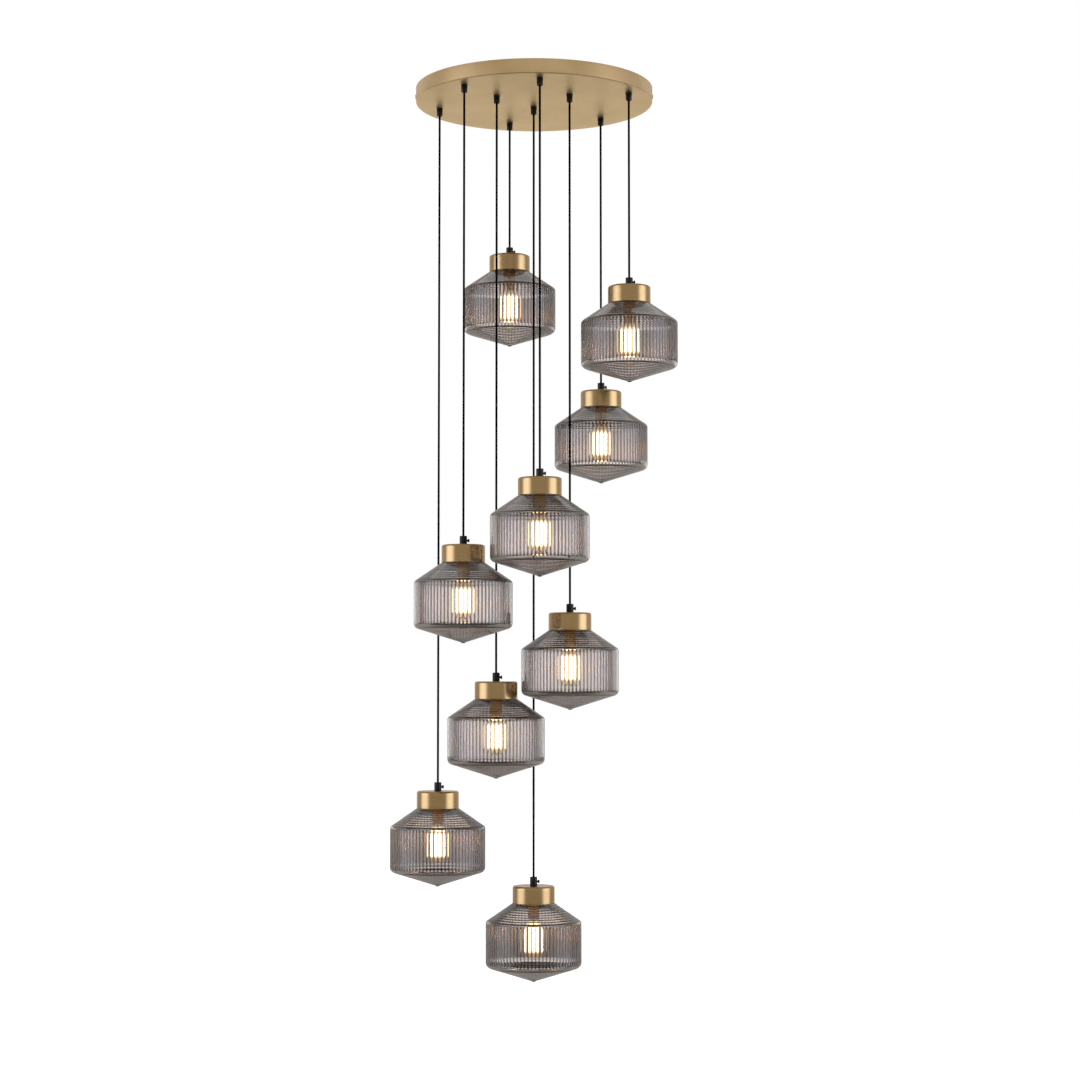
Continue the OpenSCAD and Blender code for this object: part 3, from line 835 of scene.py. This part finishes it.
@dataclass
class CeilingPart:
    """The canopy with its glands, and what it hides: bracket, fasteners, block, cord tails."""

    finishes: Finishes
    lamps: list[Lamp]
    edge_radius: float = 1.6 * MM
    rim_radius: float = 0.3 * MM
    inner_radius: float = 0.6 * MM
    wall: float = 1.2 * MM
    segments: int = 288
    gland_stem: float = 5.0 * MM
    gland_flange: float = 6.75 * MM
    gland_nose: float = 6.0 * MM
    flange_height: float = 3.0 * MM

    def canopy(self) -> None:
        """Spins the shallow brass pan."""
        low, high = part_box("canopy")
        radius, floor = (high.x - low.x) / 2, low.z
        inner, above = radius - self.wall, floor + self.wall
        outline = rounded([
            (0, floor), (radius, floor, self.edge_radius), (radius, 0, self.rim_radius),
            (inner, 0, self.rim_radius), (inner, above, self.inner_radius), (0, above)])
        turner = Turner("canopy_pan", self.segments).turn(resampled(outline, 12 * MM))
        obj = place("canopy_pan", turner.mesh(self.finishes.canopy))
        bpy.data.collections[Studio.CANOPY_LIT].objects.link(obj)
        seat(obj, CEILING_BODY, Slot.CANOPY, "canopy")

    def glands(self) -> None:
        """Turns one gland and sets a copy at each lamp's cord."""
        low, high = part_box("cord_glands")
        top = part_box("canopy")[0].z
        depth, stem = low.z - top, high.z - top
        flange, seam = self.gland_flange, -self.flange_height
        outline = rounded([
            (CORD_BORE, stem), (self.gland_stem, stem), (self.gland_stem, 0.0), (flange, 0.0),
            (flange, seam, 0.5 * MM), (flange - 0.45 * MM, seam),
            (flange - 0.3 * MM, seam - 0.6 * MM), (self.gland_nose, depth, 0.8 * MM),
            (CORD_MOUTH, depth, 0.4 * MM), (CORD_BORE, depth + CORD_FLARE)], 4)
        data = Turner("gland", 64).turn(outline, closed=True).mesh(self.finishes.black)
        for lamp in self.lamps:
            obj = place(f"gland_{lamp.number}", data, (lamp.at.x, lamp.at.y, top))
            seat(obj, CEILING_BODY, Slot.BLACK, *(["cord_glands"] if lamp.number == 1 else []))

    def hidden(self) -> None:
        """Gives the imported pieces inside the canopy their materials."""
        for node, material in (("ceiling_bracket", self.finishes.zinc),
                               ("canopy_fasteners", self.finishes.plated),
                               ("terminal_block", self.finishes.plastic),
                               ("cord_tails", self.finishes.sheath)):
            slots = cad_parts[node].data.materials
            slots.clear()
            slots.append(material)
            log.info("%s keeps its packed shape", node)

    def build(self) -> None:
        """Builds the ceiling part."""
        self.canopy()
        self.glands()
        self.hidden()


@dataclass
class LanternGlass:
    """The closed lantern: smooth outside, with upright ribs and level rings inside.

    Attributes:
        rib_drops: From the upper bend's middle and the lower bend's start down to the ribs' ends.
        upper_rows: Two rows of points below the ribs' upper ends, where the painted shade
        of their teeth ends.
        lower_rows: Two such rows above their lower ends.
        tip: Radius of the cone's last ring and its height above the inside's tip.
        rib_edge: Where across a rib, from crest to the hollows beside it, the painted shade begins,
            over the rib_blur.
    """

    radius: float = 100.0 * MM
    lip_radius: float = 44.0 * MM
    lip: float = -36.3 * MM
    wall_top: float = -74.5 * MM
    wall_bottom: float = -167.5 * MM
    bottom: float = -199.0 * MM
    glass: float = 3.0 * MM
    neck_radius: float = 42.2 * MM
    neck_height: float = 18.0 * MM
    shoulder_bend: float = 8.0 * MM
    bottom_bend: float = 12.0 * MM
    bend_steps: int = 6
    knob_radius: float = 4.0 * MM
    knob_height: float = 0.1 * MM
    knob_flare: float = 1.2 * MM
    ribs: int = 80
    steps_per_rib: int = 8
    rib_depth: float = 1.2 * MM
    rib_end: float = 1.6 * MM
    rib_drops: Pair = (0.5 * MM, 2.5 * MM)
    upper_rows: Pair = (4.0 * MM, 5.0 * MM)
    lower_rows: Pair = (6.5 * MM, 4.5 * MM)
    shoulder_rings: int = 9
    cone_rings: int = 12
    ring_depth: float = 0.8 * MM
    steps_per_ring: int = 8
    tip: Pair = (5.0 * MM, 1.4 * MM)
    tip_rise: float = 0.6 * MM
    # Painted shade on the inside, in place of the dark lines that the ribs, rings, bends and rib
    # ends make by bending light: its strength per zone, and where across a rib or ring it begins.
    shoulder_shade: float = 0.35
    cone_shade: float = 0.55
    bend_shade: float = 0.1
    rib_shade: float = 0.85
    rib_edge: float = 0.4
    rib_blur: float = 0.4
    tooth_edge: float = 0.25
    ring_edge: float = 0.3
    ring_blur: float = 0.5

    def outer(self) -> Profile:
        """Outline of the smooth outside.

        Returns:
            The points from the neck's top to the tip.
        """
        dip = (self.wall_bottom - self.bottom) / self.radius
        button, flare, end = self.knob_radius, self.knob_flare, self.bottom - self.knob_height
        path = [
            (self.neck_radius, self.lip + self.neck_height), (self.neck_radius, self.lip),
            (self.lip_radius, self.lip, 0.6 * MM),
            (self.radius, self.wall_top, self.shoulder_bend),
            (self.radius, self.wall_bottom, self.bottom_bend),
            (button + flare, self.bottom + dip * button + dip * flare, 2 * MM),
            (button, end + 0.6 * MM), (button * 0.75, end), (0, end)]
        return resampled(rounded(path, 8), 7 * MM)

    def inner(self) -> Profile:
        """Outline of the inside without its rings.

        Returns:
            The points from the neck's top to the axis.
        """
        rise = (self.lip - self.wall_top) / (self.radius - self.lip_radius)
        dip = (self.wall_bottom - self.bottom) / self.radius
        under = self.lip - self.glass * math.hypot(1, rise)
        above = self.bottom + self.glass * math.hypot(1, dip)
        neck = self.neck_radius - self.glass
        wall = self.radius - self.glass
        path = [(neck, self.lip + self.neck_height),
                (neck, under + rise * (self.lip_radius - neck), 3 * MM),
                (wall, under - rise * (wall - self.lip_radius), self.shoulder_bend - self.glass),
                (wall, above + dip * wall, self.bottom_bend - self.glass), (0, above)]
        return rounded(path, self.bend_steps)

    def ringed(self, start: Pair, end: Pair, rings: int) -> Profile:
        """Points of a slope with rounded rings that stand out to the inside.

        Args:
            start: First point of the slope.
            end: Last point of the slope.
            rings: Number of rings on it.

        Returns:
            The points.
        """
        along = Vector(end) - Vector(start)
        inward = Vector((along.y, -along.x)).normalized()
        if inward.x > 0:
            inward = -inward
        out = []
        for i in range(rings * self.steps_per_ring + 1):
            share = i / (rings * self.steps_per_ring)
            u = off_crest(share * rings)
            point = Vector(start) + along * share + inward * self.ring_depth * (1 - u * u)
            out.append((point.x, point.y))
        return out

    def build(self, smoked: Material) -> Mesh:
        """Builds the lantern's mesh round its own axis, with the cap's top at height 0.

        Args:
            smoked: The glass's material.

        Returns:
            The mesh.
        """
        inner = self.inner()
        bend = self.bend_steps + 1
        neck = inner[:1 + bend]
        upper_bend = inner[1 + bend:1 + 2 * bend]
        lower_bend = inner[1 + 2 * bend:1 + 3 * bend]
        high = upper_bend[bend // 2][1] - self.rib_drops[0]
        low = lower_bend[0][1] - self.rib_drops[1]
        shoulder = self.ringed(neck[-1], upper_bend[0], self.shoulder_rings)
        wall_x = upper_bend[-1][0]
        heads = (high, high - self.rib_end, *(high - row for row in self.upper_rows))
        feet = (*(low + row for row in self.lower_rows), low + self.rib_end, low)
        wall = [(wall_x, z) for z in heads] + resampled(
            [(wall_x, heads[-1] - 1 * MM), (wall_x, feet[0] + 1 * MM)], 6 * MM) + [
            (wall_x, z) for z in feet]
        tip = inner[-1][1]
        cone = self.ringed(lower_bend[-1], (self.tip[0], tip + self.tip[1]), self.cone_rings)
        above = [p for p in upper_bend[1:] if p[1] > high + 0.1 * MM]
        below = [p for p in lower_bend[:-1] if p[1] < low - 0.1 * MM]
        profile = neck[:-1] + shoulder + above + wall + below + cone + [(0, tip + self.tip_rise)]
        reach = [max(0.0, min(1.0, (high - z) / self.rib_end, (z - low) / self.rib_end))
                 for _, z in profile]
        # Painted shade of each profile point: a fixed level, or a level and where across the rib it
        # begins.
        rib_painted_shade, tooth_painted_shade = (self.rib_shade, self.rib_edge), (1.0, self.tooth_edge)
        top_teeth, low_teeth = high - sum(self.upper_rows) / 2, low + sum(self.lower_rows) / 2
        painted_shades = [(self.bend_shade, None) if not low <= z <= high
                 else rib_painted_shade if low_teeth < z < top_teeth else tooth_painted_shade for _, z in profile]
        for start, points, shade in ((len(neck) - 1, shoulder, self.shoulder_shade),
                                     (len(profile) - 1 - len(cone), cone, self.cone_shade)):
            for i in range(len(points)):
                u = off_crest(i / self.steps_per_ring)
                painted_shades[start + i] = shade * eased(u, self.ring_edge, self.ring_blur), None

        def off_rib(angle: float) -> float:
            """Place across the rib at an angle, 0 on its crest and 1 in the valleys."""
            return off_crest(angle * self.ribs / (2 * math.pi))

        def rib(index: int, angle: float) -> float:
            """Change in radius of a point of the inside by the rib at its angle."""
            return -self.rib_depth * (1 - off_rib(angle) ** 2) * reach[index]

        def absorption_and_painted_shade(index: int, angle: float) -> float:
            """Painted shade at a point of the inside, from 0 to 1."""
            shade, edge = painted_shades[index]
            return shade if edge is None else shade * eased(off_rib(angle), edge, self.rib_blur)

        turner = Turner("lantern_glass", self.ribs * self.steps_per_rib)
        turner.turn([profile[0], *self.outer()])
        return turner.turn(profile, rib, absorption_and_painted_shade=absorption_and_painted_shade).mesh(smoked)


@dataclass
class LampWorkshop:
    """Makes the pieces that all lamps share, and sets a copy of each on every lamp."""

    finishes: Finishes
    lamps: list[Lamp]
    cap_radius: float = 44.0 * MM
    cap_height: float = 36.0 * MM
    cap_wall: float = 1.2 * MM
    cap_edge: float = 4.5 * MM
    hole: float = 5.1 * MM
    grip_radius: float = 7.5 * MM
    grip_height: float = 18.0 * MM
    screw_at: Triple = (2.35 * MM, 0.0, 8.5 * MM)
    screw_shank: float = 2.0 * MM
    screw_head: float = 3.5 * MM
    screw_length: float = 6.65 * MM
    knurls: int = 18
    knurl_depth: float = 0.22 * MM
    sleeve_radius: float = 12.5 * MM
    sleeve_wall: float = 0.8 * MM
    sleeve_top: float = -4.2 * MM
    sleeve_bottom: float = -76.0 * MM
    insert_top: float = -9.0 * MM
    insert_gap: float = 0.1 * MM
    socket_radius: float = 7.0 * MM
    socket_floor: float = -50.0 * MM
    bulb_radius: float = 15.0 * MM
    bulb_bottom: float = -151.0 * MM
    base_radius: float = 6.9 * MM
    thread_top: float = -53.0 * MM
    thread_bottom: float = -71.0 * MM
    thread_depth: float = 0.35 * MM
    thread_steps: int = 48
    stem_radius: float = 5.2 * MM
    rod_radius: float = 1.2 * MM
    filament_radius: float = 0.8 * MM
    filament_length: float = 46.0 * MM
    filament_ring: float = 7.0 * MM
    filament_height: float = 15.0 * MM
    filaments: int = 6
    warm: Triple = (1.0, 0.58, 0.32)
    bulb_power: float = 2.0
    seed: int = 7
    slack: float = 0.04
    lit: Collection = field(default_factory=lambda: bpy.data.collections.new("lit_by_bulbs"))

    @property
    def filament_foot(self) -> float:
        """Height of the filaments' lower ends."""
        return self.bulb_bottom + self.filament_height

    def cap(self) -> Mesh:
        """Spins the brass cap.

        Returns:
            The mesh.
        """
        inner = self.cap_radius - self.cap_wall
        outline = rounded([
            (self.hole, 0), (self.cap_radius, 0, self.cap_edge),
            (self.cap_radius, -self.cap_height, 0.5 * MM), (inner, -self.cap_height, 0.5 * MM),
            (inner, -self.cap_wall, self.cap_edge - self.cap_wall),
            (self.hole, -self.cap_wall)], 8)
        turner = Turner("brass_cap", 160)
        return turner.turn(resampled(outline, 6 * MM), closed=True).mesh(self.finishes.cap)

    def grip(self) -> Mesh:
        """Turns the black cord grip.

        Returns:
            The mesh.
        """
        outline = rounded([
            (self.hole, 0), (self.grip_radius, 0, 0.3 * MM),
            (self.grip_radius, self.grip_height, 0.8 * MM),
            (CORD_MOUTH, self.grip_height, 0.4 * MM), (CORD_BORE, self.grip_height - CORD_FLARE),
            (CORD_BORE, 5.1 * MM), (self.hole, 5.1 * MM)], 4)
        return Turner("cord_grip_barrel", 64).turn(outline, closed=True).mesh(self.finishes.black)

    def thumb_screw(self) -> Mesh:
        """Turns the knurled thumb screw along +Z, with its inner end at height 0.

        Returns:
            The mesh.
        """
        shank, head, length = self.screw_shank, self.screw_head, self.screw_length
        outline = rounded([
            (0, 0), (shank, 0), (shank, length), (head, length, 0.4 * MM),
            (head, length + 3.5 * MM, 0.5 * MM), (0, length + 3.5 * MM)], 3)
        rim = [z >= length + 0.2 * MM and r >= head - 0.5 * MM for r, z in outline]

        def knurl(index: int, angle: float) -> float:
            """Change in radius of a point of the head's rim by the knurl."""
            return -self.knurl_depth * abs(math.sin(angle * self.knurls / 2)) * rim[index]

        return Turner("thumb_screw", 72).turn(outline, knurl).mesh(self.finishes.black)

    def holder(self) -> Mesh:
        """Turns the brass sleeve with its rolled lip and the ceramic insert.

        Returns:
            The mesh.
        """
        radius, top, bottom = self.sleeve_radius, self.sleeve_top, self.sleeve_bottom
        inner, under = radius - self.sleeve_wall, top - self.sleeve_wall
        sleeve = rounded([
            (self.hole, top), (radius, top, 3 * MM), (radius, bottom + 9 * MM),
            (radius - 0.5 * MM, bottom + 8.2 * MM), (radius, bottom + 7.4 * MM),
            (radius, bottom, 0.35 * MM), (inner, bottom, 0.35 * MM), (inner, under, 2.2 * MM),
            (self.hole, under)], 5)
        snug, mouth, socket = inner - self.insert_gap, bottom + 2 * MM, self.socket_radius
        insert = [
            (5.0 * MM, self.insert_top), (snug, self.insert_top), (snug, mouth), (socket, mouth),
            (socket, self.socket_floor), (0, self.socket_floor)]
        turner = Turner("lamp_holder", 96).turn(sleeve, closed=True).turn(insert, material=1)
        return turner.mesh(self.finishes.sleeve, self.finishes.ceramic)

    def bulb_glass(self) -> Mesh:
        """Blows the tubular bulb.

        Returns:
            The mesh.
        """
        neck = self.base_radius - 0.7 * MM
        outline = rounded([
            (neck, -68 * MM), (neck, self.sleeve_bottom + 1 * MM, 4 * MM),
            (self.bulb_radius, self.sleeve_bottom - 12 * MM, 8 * MM),
            (self.bulb_radius, self.bulb_bottom, self.bulb_radius - 1 * MM),
            (0, self.bulb_bottom)], 12)
        lit = LitBulbGlass("lit_bulb_glass", top=self.sleeve_bottom, bottom=self.bulb_bottom)
        return Turner("bulb_glass", 96).turn(resampled(outline, 6 * MM)).mesh(lit.material())

    def bulb_core(self) -> Mesh:
        """Turns the screw base with its thread, and sets the stem and filaments in the bulb.

        Returns:
            The mesh.
        """
        turner = Turner("bulb_core", 48)
        threads = []
        for i in range(self.thread_steps + 1):
            z = self.thread_top + (self.thread_bottom - self.thread_top) * i / self.thread_steps
            dent = self.thread_depth * (1 - math.cos(i * math.pi / 4)) / 2
            threads.append((self.base_radius - dent, z))
        turner.turn([(0, -50.2 * MM), (2.5 * MM, -50.2 * MM), *threads, (6.3 * MM, -73 * MM)])
        low = self.filament_foot
        high = low + self.filament_length
        turner.turn([(0, -66 * MM), (self.stem_radius, -68 * MM), (self.stem_radius, -71 * MM),
                     (self.rod_radius, high + 2 * MM), (self.rod_radius, low), (0, low)],
                    material=2)
        for i in range(self.filaments):
            a = 2 * math.pi * (i + 0.5) / self.filaments
            rod = bmesh.ops.create_cone(
                turner.bm, cap_ends=True, segments=10, radius1=self.filament_radius,
                radius2=self.filament_radius, depth=self.filament_length)["verts"]
            shift = Vector((self.filament_ring * math.cos(a), self.filament_ring * math.sin(a),
                            (low + high) / 2))
            bmesh.ops.translate(turner.bm, verts=rod, vec=shift)
            for face in {face for vert in rod for face in vert.link_faces}:
                face.material_index = 1
        return turner.mesh(self.finishes.plated, self.finishes.filament, self.finishes.zinc)

    def bulb_light(self, lamp: Lamp, body: str) -> None:
        """Puts the bulb's own warm light among its filaments.

        Args:
            lamp: The lamp.
            body: The body that it rides on.
        """
        middle = self.filament_foot + self.filament_length / 2
        data = bpy.data.lights.new(f"bulb_light_{lamp.number}", "POINT")
        data.color = self.warm
        data.energy = self.bulb_power
        data.shadow_soft_size = 14 * MM
        data.cycles.use_multiple_importance_sampling = False
        obj = place(data.name, data, lamp.at + Vector((0, 0, middle)))
        obj.visible_camera = obj.visible_transmission = False
        obj.light_linking.receiver_collection = self.lit
        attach(obj, body)

    def build(self) -> None:
        """Makes each shared mesh once and hangs the lamps."""
        glass = LanternGlass().build(self.finishes.glass)
        cap, grip, screw = self.cap(), self.grip(), self.thumb_screw()
        holder, bulb, core = self.holder(), self.bulb_glass(), self.bulb_core()
        rng = random.Random(self.seed)
        for lamp in self.lamps:
            k, body = lamp.number, f"lamp_{lamp.number}"
            turn = rng.randrange(4) * math.pi / 2 + rng.uniform(-self.slack, self.slack)
            lantern = place(f"lantern_{k}", glass, lamp.at, turn)
            self.lit.objects.link(lantern)
            bpy.data.collections[Studio.LANTERNS_LIT].objects.link(lantern)
            seat(lantern, body, Slot.GLASS, f"shade_{k}")
            seat(place(f"brass_cap_{k}", cap, lamp.at, turn), body, Slot.CAP, f"cap_{k}")
            seat(place(f"grip_barrel_{k}", grip, lamp.at), body, Slot.BLACK, f"cord_grip_{k}")
            side = place(f"thumb_screw_{k}", screw, lamp.at + Vector(self.screw_at))
            side.rotation_euler = (0, math.pi / 2, 0)
            seat(side, body, Slot.BLACK)
            seat(place(f"holder_{k}", holder, lamp.at), body, Slot.SLEEVE, f"lamp_holder_{k}")
            seat(place(f"bulb_core_{k}", core, lamp.at, turn), body, Slot.BULB, f"bulb_{k}")
            seat(place(f"bulb_envelope_{k}", bulb, lamp.at), body, Slot.BULB)
            self.bulb_light(lamp, body)


def main() -> None:
    """Builds the studio, the cords, the ceiling part and the lamps."""
    logging.basicConfig(level=logging.INFO, format="%(name)s: %(message)s")
    Studio().build()
    finishes = Finishes()
    numbers = sorted(int(n.split("_")[1]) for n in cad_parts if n.startswith("cap_"))
    for number in numbers:
        HangingCord(number, finishes.sheath).build()
    lamps = [Lamp(number) for number in numbers]
    CeilingPart(finishes, lamps).build()
    LampWorkshop(finishes, lamps).build()
    boxes = {"cad": cad_bounds, "visual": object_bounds()}
    {name: [list(corner) for corner in box] for name, box in boxes.items()}


if __name__ == "__main__":
    main()
